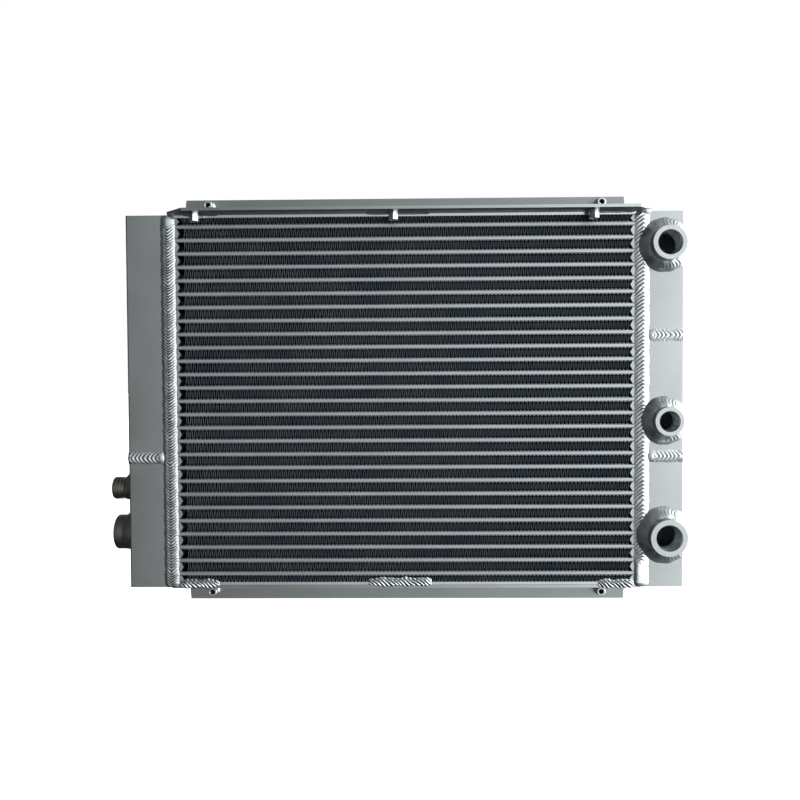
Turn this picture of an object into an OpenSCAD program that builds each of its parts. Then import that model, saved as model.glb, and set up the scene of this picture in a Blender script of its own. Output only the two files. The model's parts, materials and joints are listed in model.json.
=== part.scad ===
// Bar-and-plate oil cooler: a brazed core of stacked fluid channels and air rows, welded between
// two tanks. The upper two thirds are a two-pass circuit, the lower third is a circuit of its own.
// Millimetres. X runs across the core, Z up, and air blows along Y from front (-Y) to rear.
// The origin is the centre of the four mounting holes, on the brackets' rear faces.

/* [Core] */
// Width of the brazed core between the tanks
core_w = 472; // [420:1:600]
// Depth of the core from front to rear
core_d = 63; // [60:1:94]
// Number of fluid channels, three equal passes of an odd number each
channel_count = 27; // [27:6:39]
// Distance from one fluid channel to the next
layer_pitch = 13.4; // [12:0.1:16]
// Height of the bars that close a fluid channel
bar_h = 3; // [2:0.1:5]
// Depth of those bars
bar_d = 8; // [6:0.5:12]
// Thickness of the parting sheets
sheet_t = 0.45; // [0.4:0.05:0.8]
// Height of the two outermost air rows
outer_row_h = 6.85; // [5:0.05:9]
// Thickness of the side plates that close the stack
side_plate_t = 3; // [2:0.5:5]
// Width of the flat part of the bars that close an air row
air_bar_w = 9; // [6:0.5:10]
// Length of their pointed nose
air_bar_nose = 2.5; // [2:0.5:6]
// Pitch of the corrugated air fins, drawn at twice the real one
fin_pitch = 7.4; // [7.4:0.1:14.8]
// Thickness of the fin sheet
fin_t = 0.2; // [0.2:0.05:0.4]
// Pitch of the corrugated turbulators inside the fluid channels
turbulator_pitch = 4.7; // [4:0.1:8]

/* [Tanks] */
// Width of each tank beside the core
tank_w = 42.5; // [40:0.5:60]
// Wall thickness of the tanks
tank_t = 4; // [3:0.5:6]
// Outer corner radius of the tank section
tank_corner_r = 2; // [1:0.5:8]
// Thickness of the partitions between two chambers of a tank
partition_t = 3; // [2:0.5:4]
// How far the tanks reach below the core's stack
tank_foot = 2; // [0:0.5:2.5]

/* [Front ports] */
// Distance of the ports' axes from the core's edge
front_port_x = 22.5; // [20:0.5:24]
// Upper port: outer diameter
upper_port_d = 34; // [32:0.5:36]
// Upper port: bore, the minor diameter of its M24 x 1.5 thread
upper_port_bore = 22.4; // [20:0.1:24]
// Upper port: distance below the top of the tank
upper_port_drop = 33.5; // [30:0.5:60]
// Middle port: outer diameter
middle_port_d = 29; // [27:0.5:32]
// Middle port: bore, the minor diameter of its G 1/2 thread
middle_port_bore = 18.63; // [16:0.01:20]
// Middle port: height above the partition under it
middle_port_rise = 35.5; // [32:0.5:60]
// Lower port: outer diameter
lower_port_d = 37; // [35:0.5:38]
// Lower port: bore, the minor diameter of its G 3/4 thread
lower_port_bore = 24.12; // [20:0.01:26]
// Lower port: height above the bottom of the tank
lower_port_rise = 52; // [48:1:70]
// How far the ports stand out of the tank's front
front_port_h = 19; // [14:1:26]

/* [Side ports] */
// Small side port: outer diameter
small_port_d = 23; // [20:0.5:24]
// Small side port: bore, the minor diameter of its G 3/8 thread
small_port_bore = 14.95; // [12:0.05:16]
// Small side port: distance below the left partition
small_port_drop = 34; // [30:1:40]
// Large side port: outer diameter
large_port_d = 35.5; // [34:0.5:37]
// Large side port: bore, the minor diameter of its G 3/4 thread
large_port_bore = 24.12; // [20:0.01:26]
// Large side port: height above the bottom of the tank
large_port_rise = 51; // [47:1:54]
// How far the small side port stands out of the tank
small_port_h = 25.5; // [22:0.5:36]
// How far the large side port stands out of the tank
large_port_h = 22.5; // [18:0.5:36]
// Chamfer at the mouth of every port
mouth_chamfer = 1; // [0.5:0.1:2.5]

/* [Brackets] */
// Thickness of the bracket sheet
bracket_t = 3; // [2:0.5:4]
// Length of the brackets
bracket_w = 472; // [400:1:472]
// Height of the top bracket's rear flange above the stack
top_flange_h = 28; // [27:0.5:40]
// Height of the bottom bracket's rear flange below the stack
bottom_flange_h = 30.5; // [27:0.5:40]
// How much the flanges narrow at each end towards their free edge
flange_slant = 2; // [0.5:0.5:6]
// How far the top bracket's lip overhangs the core's front
lip_overhang = 22; // [18:1:30]
// Chamfer of the lip's left corner
lip_left_chamfer = 20; // [4:1:21]
// Chamfer of the lip's right corner
lip_right_chamfer = 6.5; // [4:0.5:21]
// Mounting holes: distance across
mount_spacing_x = 416; // [380:1:430]
// Mounting holes: distance of each row from the end of the stack
mount_rise = 20.5; // [20:0.5:21]
// Lip nuts: spacing
lip_nut_spacing = 196; // [150:1:205]
// Lip nuts: the middle one's place off the core's centre
lip_nut_offset = -10; // [-10:1:10]
// Minor diameter of the M6 threads
nut_bore = 4.92; // [4.9:0.01:5.2]

/* [Welds] */
// Width of the tank seams
seam_w = 15; // [8:0.5:15]
// Height of the tank seams
seam_h = 2; // [1:0.1:2.5]
// Width of the beads round the tanks at the partitions
partition_weld_w = 12.5; // [8:0.5:14]
// Height of those beads
partition_weld_h = 1.5; // [1:0.1:2.5]
// Radial leg of the fillets round the front ports
fillet_leg = 10; // [5:0.5:10]
// Height of those fillets
fillet_h = 9; // [5:0.5:12]
// Radial leg of the small side port's fillet
small_fillet_leg = 9.5; // [5:0.5:9.5]
// Radial leg of the large side port's fillet
large_fillet_leg = 7; // [4:0.5:7]
// Height of the side ports' fillets
side_fillet_h = 11.5; // [8:0.5:12]

/* [Hidden] */
$fn = 96;
eps = 1;

// Core
half_w = core_w / 2;
rear_y = -bracket_t;
front_y = rear_y - core_d;
mid_y = (rear_y + front_y) / 2;
last = (channel_count - 1) / 2;
pass_last = (channel_count / 3 - 1) / 2;
channel_h = bar_h + 2 * sheet_t;
row_h = layer_pitch - channel_h;
outer_row_z = last * layer_pitch + channel_h / 2 + outer_row_h / 2;
half_h = outer_row_z + outer_row_h / 2 + side_plate_t;
foot_z = -half_h - tank_foot;
fin_gap = 4;
fin_run = core_w - 2 * (air_bar_w + air_bar_nose + fin_gap);

// Partitions lie just under the lowest channel of the pass above them
function partition_z(channel) = channel * layer_pitch - channel_h / 2 - partition_t / 2;
upper_split = partition_z(pass_last + 1);
lower_split = partition_z(-pass_last);

// Ports
upper_port_z = half_h - upper_port_drop;
middle_port_z = lower_split + middle_port_rise;
lower_port_z = foot_z + lower_port_rise;
small_port_z = lower_split - small_port_drop;
large_port_z = foot_z + large_port_rise;
port_x = half_w + front_port_x;
tank_x = half_w + tank_w;
spigot_wall = 3;
edge_chamfer = 1;

// Grooves turned round the small side port, from and to measured back from its tip
small_grooves = [[6, 7.5], [9.5, 12]];
groove_depth = 1.25;

// Brackets
bend_r = 1.5;
mount_z = half_h + mount_rise;
lip_y = front_y - lip_overhang;
lip_nut_y = front_y - lip_overhang / 2 - 1;
nut_d = 9;
nut_head_d = 11;
nut_head_h = 1;
nut_bulge_d = 11.5;
nut_bulge_h = 2.5;
nut_l = 15;
lip_nut_l = 12;
lip_nut_af = 9;

// Stitch welds of the brackets along X, one near each end of the core and one near its middle
end_stitch_l = 36;
left_stitch_inset = 15;
right_stitch_inset = seam_w / 2;
middle_stitch_l = 63;
middle_stitch_x = -5.5;
stitch_runs = [
    [left_stitch_inset - half_w, left_stitch_inset + end_stitch_l - half_w],
    [middle_stitch_x - middle_stitch_l / 2, middle_stitch_x + middle_stitch_l / 2],
    [half_w - right_stitch_inset - end_stitch_l, half_w - right_stitch_inset]
];
front_stitch_w = 8.5;
rear_stitch_h = 1.5;

// Where a fillet's middle lies between its corner (0) and full convexity (1); 0.5 is a straight face
fillet_bulge = 0.6;

// Air rows as [centre height, height], from the bottom up
inner_rows = [for (k = [-last : last - 1]) [(k + 0.5) * layer_pitch, row_h]];
air_rows = concat([[-outer_row_z, outer_row_h]], inner_rows, [[outer_row_z, outer_row_h]]);

// Runs a section drawn in (Y, Z) along X, centred
module along_x(length) {
    translate([-length / 2, 0, 0]) rotate([90, 0, 90]) linear_extrude(length) children();
}

// Runs a section drawn in (X, Z) through the core's depth
module along_core_depth() {
    translate([0, rear_y, 0]) rotate([90, 0, 0]) linear_extrude(core_d) children();
}

// ---- Core ----

module parting_sheets() {
    color("silver")
    for (k = [-last : last], side = [-1, 1])
        translate([-half_w, front_y, k * layer_pitch + side * (bar_h + sheet_t) / 2 - sheet_t / 2])
            cube([core_w, core_d, sheet_t]);
}

module channel_bars(y) {
    for (k = [-last : last])
        translate([-half_w, y, k * layer_pitch - bar_h / 2])
            cube([core_w, bar_d, bar_h]);
}

module front_channel_bars() {
    color("gainsboro") channel_bars(front_y);
}

module rear_channel_bars() {
    color("gainsboro") channel_bars(rear_y - bar_d);
}

// Bars with a pointed nose towards the fins, at the left end of every air row
module air_bars() {
    for (row = air_rows)
        translate([0, 0, row[0]]) along_core_depth()
            polygon([
                [-half_w, -row[1] / 2],
                [-half_w + air_bar_w, -row[1] / 2],
                [-half_w + air_bar_w + air_bar_nose, 0],
                [-half_w + air_bar_w, row[1] / 2],
                [-half_w, row[1] / 2]
            ]);
}

module left_air_bars() {
    color("silver") air_bars();
}

module right_air_bars() {
    color("silver") mirror([1, 0, 0]) air_bars();
}

// One zigzag strip of sheet, its centre line between -height/2 and +height/2
module zigzag(length, height, pitch, sheet) {
    folds = floor(length / (pitch / 2));
    fold = length / folds;
    rise = sheet * sqrt(fold * fold + height * height) / fold;
    low = -height / 2;
    high = height / 2 - rise;
    polygon(concat(
        [for (i = [0 : folds]) [-length / 2 + i * fold, i % 2 == 0 ? low : high]],
        [for (i = [folds : -1 : 0]) [-length / 2 + i * fold, (i % 2 == 0 ? low : high) + rise]]
    ));
}

module fins(from, to) {
    color("dimgray")
    for (row = air_rows)
        if (row[0] > from && row[0] < to)
            translate([0, 0, row[0]]) along_core_depth() zigzag(fin_run, row[1], fin_pitch, fin_t);
}

module upper_pass_fins() {
    fins(upper_split - partition_t, half_h);
}

module middle_pass_fins() {
    fins(lower_split - partition_t, upper_split - partition_t);
}

module lower_circuit_fins() {
    fins(-half_h, lower_split - partition_t);
}

module channel_turbulators() {
    color("gray")
    for (k = [-last : last])
        translate([0, mid_y, k * layer_pitch])
            along_x(core_w) zigzag(core_d - 2 * bar_d, bar_h, turbulator_pitch, fin_t);
}

module side_plate() {
    translate([-half_w, front_y, half_h - side_plate_t]) cube([core_w, core_d, side_plate_t]);
}

module top_side_plate() {
    color("silver") side_plate();
}

module bottom_side_plate() {
    color("silver") mirror([0, 0, 1]) side_plate();
}

// ---- Tanks, drawn on the right and mirrored for the left ----

// Outer outline of the tank seen from above, rounded at its two outer corners
module tank_outline() {
    flat_w = tank_w - tank_corner_r;
    translate([half_w, front_y]) {
        square([flat_w, core_d]);
        translate([0, tank_corner_r]) square([tank_w, core_d - 2 * tank_corner_r]);
        for (y = [tank_corner_r, core_d - tank_corner_r])
            translate([flat_w, y]) circle(r = tank_corner_r);
    }
}

module tank_hollow() {
    translate([half_w, front_y + tank_t]) square([tank_w - tank_t, core_d - 2 * tank_t]);
}

module tank(bottom, top) {
    translate([0, 0, bottom]) linear_extrude(top - bottom) difference() {
        tank_outline();
        translate([-eps, 0]) tank_hollow();
        tank_hollow();
    }
}

module tank_cap(bottom) {
    translate([0, 0, bottom]) linear_extrude(tank_t) tank_hollow();
}

module partition(z) {
    color("gray") translate([0, 0, z - partition_t / 2]) linear_extrude(partition_t) tank_outline();
}

module left_upper_tank() {
    color("lightslategray") mirror([1, 0, 0]) tank(lower_split + partition_t / 2, half_h);
}

module left_lower_tank() {
    color("lightslategray") difference() {
        mirror([1, 0, 0]) tank(foot_z, lower_split - partition_t / 2);
        at_side_port(small_port_z) spigot_hole(small_port_bore);
        at_side_port(large_port_z) spigot_hole(large_port_bore);
    }
}

module right_upper_tank() {
    color("lightsteelblue") difference() {
        tank(upper_split + partition_t / 2, half_h);
        at_front_port(upper_port_z) spigot_hole(upper_port_bore);
    }
}

module right_middle_tank() {
    color("lightsteelblue") difference() {
        tank(lower_split + partition_t / 2, upper_split - partition_t / 2);
        at_front_port(middle_port_z) spigot_hole(middle_port_bore);
    }
}

module right_lower_tank() {
    color("lightsteelblue") difference() {
        tank(foot_z, lower_split - partition_t / 2);
        at_front_port(lower_port_z) spigot_hole(lower_port_bore);
    }
}

module left_top_cap() {
    color("slategray") mirror([1, 0, 0]) tank_cap(half_h - tank_t);
}

module left_bottom_cap() {
    color("slategray") mirror([1, 0, 0]) tank_cap(foot_z);
}

module right_top_cap() {
    color("slategray") tank_cap(half_h - tank_t);
}

module right_bottom_cap() {
    color("slategray") tank_cap(foot_z);
}

module left_partition() {
    mirror([1, 0, 0]) partition(lower_split);
}

module right_upper_partition() {
    partition(upper_split);
}

module right_lower_partition() {
    partition(lower_split);
}

// ---- Ports: local Z is the port's axis, pointing out, with 0 on the tank's outer face ----

module at_front_port(z) {
    translate([port_x, front_y, z]) rotate([90, 0, 0]) children();
}

module at_side_port(z) {
    translate([-tank_x, mid_y, z]) rotate([0, -90, 0]) children();
}

module spigot_hole(bore) {
    translate([0, 0, -tank_t - eps]) cylinder(h = tank_t + 2 * eps, d = bore + 2 * spigot_wall);
}

// A weld boss with a spigot through the tank wall, bored right through
module port(d, bore, height) {
    difference() {
        union() {
            translate([0, 0, -tank_t]) cylinder(h = tank_t, d = bore + 2 * spigot_wall);
            cylinder(h = height - edge_chamfer, d = d);
            translate([0, 0, height - edge_chamfer])
                cylinder(h = edge_chamfer, d1 = d, d2 = d - 2 * edge_chamfer);
        }
        translate([0, 0, -tank_t - eps]) cylinder(h = height + tank_t + 2 * eps, d = bore);
        translate([0, 0, height - mouth_chamfer])
            cylinder(h = mouth_chamfer, d1 = bore, d2 = bore + 2 * mouth_chamfer);
    }
}

// A groove cut round a port, from low to high along its axis
module groove(d, depth, low, high) {
    translate([0, 0, low]) difference() {
        cylinder(h = high - low, d = d + 2 * eps);
        cylinder(h = high - low, d = d - 2 * depth);
    }
}

module upper_front_port() {
    color("gainsboro") at_front_port(upper_port_z) port(upper_port_d, upper_port_bore, front_port_h);
}

module middle_front_port() {
    color("gainsboro")
    at_front_port(middle_port_z) port(middle_port_d, middle_port_bore, front_port_h);
}

module lower_front_port() {
    color("gainsboro") at_front_port(lower_port_z) port(lower_port_d, lower_port_bore, front_port_h);
}

// The small side port has two grooves behind its tip
module small_side_port() {
    color("dimgray") at_side_port(small_port_z) difference() {
        port(small_port_d, small_port_bore, small_port_h);
        for (span = small_grooves)
            groove(small_port_d, groove_depth, small_port_h - span[1], small_port_h - span[0]);
    }
}

module large_side_port() {
    color("dimgray") at_side_port(large_port_z) port(large_port_d, large_port_bore, large_port_h);
}

// ---- Brackets ----

// The bent sheet seen from its end, foot on the side plate and flange up at the rear
module bracket_section(foot_front, flange_h) {
    bend_out = bend_r + bracket_t;
    translate([foot_front, half_h]) square([-bend_out - foot_front, bracket_t]);
    translate([-bracket_t, half_h + bend_out]) square([bracket_t, flange_h - bend_out]);
    translate([-bend_out, half_h + bend_out]) intersection() {
        difference() {
            circle(r = bend_out);
            circle(r = bend_r);
        }
        translate([0, -bend_out]) square(bend_out);
    }
}

// A rectangle from y = 0 up to the given height whose two far corners are cut off by [x, y]
module cut_corners(width, height, left, right) {
    polygon([
        [-width / 2, 0],
        [width / 2, 0],
        [width / 2, height - right[1]],
        [width / 2 - right[0], height],
        [-width / 2 + left[0], height],
        [-width / 2, height - left[1]]
    ]);
}

module bracket(foot_front, flange_h, left, right) {
    slant = [flange_slant, flange_h - 2 * bracket_t];
    intersection() {
        along_x(bracket_w) bracket_section(foot_front, flange_h);
        // foot corners, seen from above
        translate([0, 0, half_h - eps]) mirror([0, 1, 0])
            linear_extrude(flange_h + 2 * eps)
                cut_corners(bracket_w, -foot_front, [left, left], [right, right]);
        // flange ends, seen from the rear
        translate([0, eps, half_h]) rotate([90, 0, 0])
            linear_extrude(-foot_front + 2 * eps) cut_corners(bracket_w, flange_h, slant, slant);
    }
}

// Local Z = 0 is the bracket face that the nut's countersunk head is flush with, body along -Z
module nut_head() {
    translate([0, 0, -nut_head_h]) cylinder(h = nut_head_h, d1 = nut_d, d2 = nut_head_d);
}

module nut_hole() {
    translate([0, 0, -bracket_t - eps]) cylinder(h = bracket_t + 2 * eps, d = nut_d);
    nut_head();
}

module hex_body(length, top) {
    translate([0, 0, top - length]) rotate(30)
        cylinder(h = length, d = lip_nut_af / cos(30), $fn = 6);
}

module rivet_nut() {
    difference() {
        union() {
            nut_head();
            translate([0, 0, -nut_l]) cylinder(h = nut_l, d = nut_d);
            translate([0, 0, -bracket_t - nut_bulge_h]) cylinder(h = nut_bulge_h, d = nut_bulge_d);
        }
        translate([0, 0, -nut_l - eps]) cylinder(h = nut_l + 2 * eps, d = nut_bore);
    }
}

module hex_rivet_nut() {
    difference() {
        union() {
            nut_head();
            hex_body(lip_nut_l, 0);
        }
        translate([0, 0, -lip_nut_l - eps]) cylinder(h = lip_nut_l + 2 * eps, d = nut_bore);
    }
}

module at_mounts() {
    for (side = [-1, 1])
        translate([side * mount_spacing_x / 2, 0, mount_z]) rotate([-90, 0, 0]) children();
}

module at_lip_nuts() {
    for (i = [-1 : 1])
        translate([lip_nut_offset + i * lip_nut_spacing, lip_nut_y, half_h + bracket_t]) children();
}

module top_bracket() {
    color("darkgray") difference() {
        bracket(lip_y, top_flange_h, lip_left_chamfer, lip_right_chamfer);
        at_mounts() nut_hole();
        at_lip_nuts() {
            nut_head();
            hex_body(bracket_t + 2 * eps, eps);
        }
    }
}

module bottom_bracket() {
    color("darkgray") mirror([0, 0, 1]) difference() {
        bracket(front_y, bottom_flange_h, edge_chamfer, edge_chamfer);
        at_mounts() nut_hole();
    }
}

module top_rivet_nuts() {
    color("white") at_mounts() rivet_nut();
}

module bottom_rivet_nuts() {
    color("white") mirror([0, 0, 1]) at_mounts() rivet_nut();
}

module lip_rivet_nuts() {
    color("white") at_lip_nuts() hex_rivet_nut();
}

// ---- Welds ----

// Section of a bead lying on the X axis, its crown up
module bead_section(width, height) {
    r = (width * width / 4 + height * height) / (2 * height);
    intersection() {
        translate([0, height - r]) circle(r = r);
        translate([-width / 2, 0]) square([width, height]);
    }
}

// A seam up the front of the right-hand joint of core and tank
module seam(bottom) {
    translate([half_w, front_y, bottom]) linear_extrude(half_h - bottom)
        mirror([0, 1]) bead_section(seam_w, seam_h);
}

module front_left_seam() {
    color("whitesmoke") mirror([1, 0, 0]) seam(foot_z);
}

// The right seam stops at the fillets of the front ports
module front_right_seam() {
    color("whitesmoke") difference() {
        seam(foot_z);
        at_front_port(upper_port_z) cylinder(h = seam_h + eps, d = upper_port_d + 2 * fillet_leg);
        at_front_port(middle_port_z) cylinder(h = seam_h + eps, d = middle_port_d + 2 * fillet_leg);
        at_front_port(lower_port_z) cylinder(h = seam_h + eps, d = lower_port_d + 2 * fillet_leg);
    }
}

module to_rear() {
    translate([0, 2 * mid_y, 0]) mirror([0, 1, 0]) children();
}

module rear_left_seam() {
    color("whitesmoke") to_rear() mirror([1, 0, 0]) seam(-half_h);
}

module rear_right_seam() {
    color("whitesmoke") to_rear() seam(-half_h);
}

module partition_bead() {
    bead_section(partition_weld_w, partition_weld_h);
}

// A bead round the three outer faces of the right tank, from seam to seam
module partition_weld(z) {
    start = half_w + seam_w / 2;
    corner_x = tank_x - tank_corner_r;
    for (rear = [0, 1]) mirror([0, rear, 0]) translate([0, rear * -2 * mid_y, z]) {
        translate([start, front_y, 0]) rotate([0, 90, 0])
            linear_extrude(corner_x - start) mirror([0, 1]) partition_bead();
        translate([corner_x, front_y + tank_corner_r, 0]) rotate([0, 0, -90])
            rotate_extrude(angle = 90) translate([tank_corner_r, 0])
                rotate(-90) partition_bead();
    }
    translate([tank_x, front_y + tank_corner_r, z]) rotate([-90, 0, 0])
        linear_extrude(core_d - 2 * tank_corner_r) rotate(-90) partition_bead();
}

module left_partition_weld() {
    color("whitesmoke") mirror([1, 0, 0]) partition_weld(lower_split);
}

module right_upper_partition_weld() {
    color("whitesmoke") partition_weld(upper_split);
}

module right_lower_partition_weld() {
    color("whitesmoke") partition_weld(lower_split);
}

// A slightly convex fillet between a round port and the flat face that it stands on
module fillet(d, leg, height) {
    rotate_extrude() polygon([
        [d / 2, 0],
        [d / 2 + leg, 0],
        [d / 2 + fillet_bulge * leg, fillet_bulge * height],
        [d / 2, height]
    ]);
}

// Front fillets end at the tank's outer edge, which they reach over
module front_fillet(z, d) {
    color("slategray") intersection() {
        at_front_port(z) fillet(d, fillet_leg, fillet_h);
        translate([0, front_y - fillet_h, foot_z]) cube([tank_x, fillet_h, half_h - foot_z]);
    }
}

module side_fillet(z, d, leg) {
    color("slategray") at_side_port(z) fillet(d, leg, side_fillet_h);
}

module upper_port_weld() {
    front_fillet(upper_port_z, upper_port_d);
}

module middle_port_weld() {
    front_fillet(middle_port_z, middle_port_d);
}

module lower_port_weld() {
    front_fillet(lower_port_z, lower_port_d);
}

module small_port_weld() {
    side_fillet(small_port_z, small_port_d, small_fillet_leg);
}

module large_port_weld() {
    side_fillet(large_port_z, large_port_d, large_fillet_leg);
}

// Straight bead along X between two places, on a face that looks along -Y
module stitch(from, to, y, z, width, height) {
    translate([from, y, z]) rotate([0, 90, 0])
        linear_extrude(to - from) mirror([0, 1]) bead_section(width, height);
}

// Stitches at the rear, on the side plate's edge below the bracket's bend
module rear_stitches() {
    for (run = stitch_runs)
        to_rear() stitch(run[0], run[1], front_y, half_h - side_plate_t / 2, side_plate_t,
            rear_stitch_h);
}

// Under the lip the front stitches fill the corner between side plate and bracket foot
module top_bracket_welds() {
    leg = side_plate_t;
    color("whitesmoke") {
        for (run = stitch_runs)
            translate([run[0], front_y, half_h]) rotate([90, 0, 90]) linear_extrude(run[1] - run[0])
                polygon([[0, 0], [-leg, 0], [-fillet_bulge * leg, -fillet_bulge * leg], [0, -leg]]);
        rear_stitches();
    }
}

// Below, they bridge the flush front edges of side plate and bracket foot
module bottom_bracket_welds() {
    color("whitesmoke") mirror([0, 0, 1]) {
        for (run = stitch_runs)
            stitch(run[0], run[1], front_y, half_h + bracket_t - front_stitch_w / 2, front_stitch_w,
                seam_h);
        rear_stitches();
    }
}

parting_sheets();
front_channel_bars();
rear_channel_bars();
left_air_bars();
right_air_bars();
upper_pass_fins();
middle_pass_fins();
lower_circuit_fins();
channel_turbulators();
top_side_plate();
bottom_side_plate();
left_upper_tank();
left_lower_tank();
right_upper_tank();
right_middle_tank();
right_lower_tank();
left_top_cap();
left_bottom_cap();
right_top_cap();
right_bottom_cap();
left_partition();
right_upper_partition();
right_lower_partition();
upper_front_port();
middle_front_port();
lower_front_port();
small_side_port();
large_side_port();
top_bracket();
bottom_bracket();
top_rivet_nuts();
bottom_rivet_nuts();
lip_rivet_nuts();
front_left_seam();
front_right_seam();
rear_left_seam();
rear_right_seam();
left_partition_weld();
right_upper_partition_weld();
right_lower_partition_weld();
upper_port_weld();
middle_port_weld();
lower_port_weld();
small_port_weld();
large_port_weld();
top_bracket_welds();
bottom_bracket_welds();
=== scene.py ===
"""Looks of the bar-and-plate oil cooler: fins, ripple welds, threads, metals, light and camera."""
import json
import math

import bmesh
import bpy
import numpy as np
from mathutils import Matrix, Vector


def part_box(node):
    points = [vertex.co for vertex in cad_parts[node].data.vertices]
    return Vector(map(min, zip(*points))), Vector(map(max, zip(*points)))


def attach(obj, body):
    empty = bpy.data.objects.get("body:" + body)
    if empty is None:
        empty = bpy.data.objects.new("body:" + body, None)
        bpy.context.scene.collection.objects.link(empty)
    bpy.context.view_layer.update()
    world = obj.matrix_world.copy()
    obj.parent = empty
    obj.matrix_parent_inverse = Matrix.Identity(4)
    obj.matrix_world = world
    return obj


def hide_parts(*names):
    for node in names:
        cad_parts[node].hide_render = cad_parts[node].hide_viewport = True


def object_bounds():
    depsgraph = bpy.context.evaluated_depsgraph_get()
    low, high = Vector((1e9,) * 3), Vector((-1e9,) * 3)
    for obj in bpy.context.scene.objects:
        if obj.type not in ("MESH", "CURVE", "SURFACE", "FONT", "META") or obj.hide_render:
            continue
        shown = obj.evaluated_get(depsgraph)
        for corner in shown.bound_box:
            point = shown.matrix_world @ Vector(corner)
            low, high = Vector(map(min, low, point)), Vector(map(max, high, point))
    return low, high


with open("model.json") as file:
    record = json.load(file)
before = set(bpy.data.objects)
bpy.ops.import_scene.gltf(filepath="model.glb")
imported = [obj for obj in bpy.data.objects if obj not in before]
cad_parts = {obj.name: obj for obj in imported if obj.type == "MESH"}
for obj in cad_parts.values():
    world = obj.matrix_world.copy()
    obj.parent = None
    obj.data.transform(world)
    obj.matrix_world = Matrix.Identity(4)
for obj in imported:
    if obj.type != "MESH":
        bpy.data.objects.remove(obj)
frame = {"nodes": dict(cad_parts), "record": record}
cad_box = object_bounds()

# ---- Sizes, in metres, worked out from the frame ----

MM = 0.001
NODES = frame["nodes"]
MOUNTS = {mount["name"]: mount for mount in frame["record"]["mounts"]}


def points_of(node):
    """A CAD node's vertices as rows of x, y, z."""
    return np.array([vertex.co[:] for vertex in NODES[node].data.vertices])


def levels(node, axis):
    """The different places along an axis where a CAD node has vertices, in order."""
    return np.unique(np.round(points_of(node)[:, axis], 6))


# The core's front, rear and half width, and how far the tanks reach up and sideways.
core_low, core_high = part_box("parting_sheets")
tank_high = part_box("right_upper_tank")[1]
FRONT_Y, REAR_Y = core_low.y, core_high.y
HALF_W, HALF_H = core_high.x, tank_high.z
TANK_X = tank_high.x

# A tank's side is flat between its rounded corners, so its foremost place tells their radius.
tank_points = points_of("right_upper_tank")
side_points = tank_points[tank_points[:, 0] > TANK_X - 0.01 * MM]
TANK_CORNER = side_points[:, 1].min() - FRONT_Y

# The lowest place of the tanks, and the thickness of the side plates.
FOOT_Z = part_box("right_lower_tank")[0].z
plate_low, plate_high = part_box("top_side_plate")
PLATE = plate_high.z - plate_low.z

# (bottom, top) of every air row. A pointed air bar has its corners at the bottom, middle and top.
AIR_ROWS = levels("left_air_bars", 2).reshape(-1, 3)[:, [0, 2]]
LAYER_PITCH = AIR_ROWS[2][0] - AIR_ROWS[1][0]
CHANNEL_H = AIR_ROWS[2][0] - AIR_ROWS[1][1]

# How wide the sharp edges of sawn, cut and sheared parts are broken.
BAR_EDGE, TANK_EDGE, BRACKET_EDGE = 0.3 * MM, 0.4 * MM, 0.35 * MM

# Thread pitches. G 1/2 and G 3/4 are coarse, with 14 threads to the inch, and G 3/8 is fine, with 19.
M24_PITCH, M6_PITCH = 1.5 * MM, MM
G_COARSE_PITCH, G_FINE_PITCH = 1.814 * MM, 1.337 * MM


# ---- Mesh building ----

def skin(loops, ring=False):
    """Vertices and quads over a row of equal loops, with an end face at each end of an open row."""
    loops = np.asarray(loops, float)
    count, size = loops.shape[:2]
    faces = []
    for i in range(count if ring else count - 1):
        here = i * size
        there = (i + 1) % count * size
        for j in range(size):
            k = (j + 1) % size
            faces.append((here + j, here + k, there + k, there + j))
    if not ring:
        faces.append(tuple(range(size)))
        faces.append(tuple(range((count - 1) * size, count * size)))
    return loops.reshape(-1, 3), faces


def piece(name, parts, material, nodes, place=None, crease=40):
    """A new piece from closed skins, standing for CAD nodes. Edges sharper than crease stay sharp."""
    vertices, faces = [], []
    for part_vertices, part_faces in parts:
        start = sum(len(block) for block in vertices)
        vertices.append(part_vertices)
        faces += [tuple(start + index for index in face) for face in part_faces]
    mesh = bpy.data.meshes.new(name)
    mesh.from_pydata(np.concatenate(vertices).tolist(), [], faces)
    return finished(name, mesh, material, nodes, place, crease)


def finished(name, mesh, material, nodes, place=None, crease=40):
    """Turns a mesh into a piece: outward faces, smooth shading, material, body and CAD nodes."""
    shape = bmesh.new()
    shape.from_mesh(mesh)
    bmesh.ops.recalc_face_normals(shape, faces=shape.faces)
    shape.to_mesh(mesh)
    shape.free()
    mesh.shade_smooth()
    mesh.set_sharp_from_angle(angle=math.radians(crease))
    mesh.materials.clear()
    mesh.materials.append(material)
    made = bpy.data.objects.new(name, mesh)
    bpy.context.scene.collection.objects.link(made)
    if place:
        made.matrix_world = place
    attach(made, "root")
    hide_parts(*nodes)
    return made


def softened(node, width, material):
    """Stands for a CAD node with its sharp edges broken to the given width."""
    same_place, flat, corner = 0.001 * MM, math.radians(0.5), math.radians(30)
    shape = bmesh.new()
    shape.from_mesh(NODES[node].data)
    bmesh.ops.remove_doubles(shape, verts=shape.verts, dist=same_place)
    bmesh.ops.dissolve_limit(shape, angle_limit=flat, verts=shape.verts, edges=shape.edges)
    sharp = [
        edge for edge in shape.edges if edge.is_manifold and edge.calc_face_angle() > corner
    ]
    bmesh.ops.bevel(
        shape, geom=sharp, offset=width, segments=2, profile=0.6, affect="EDGES",
        clamp_overlap=True,
    )
    mesh = bpy.data.meshes.new(node + "_soft")
    shape.to_mesh(mesh)
    shape.free()
    return finished(node + "_soft", mesh, material, [node], crease=15)


def recolour(node, material):
    """Gives a CAD node that is shown as it is another material."""
    NODES[node].data.materials.clear()
    NODES[node].data.materials.append(material)


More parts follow.
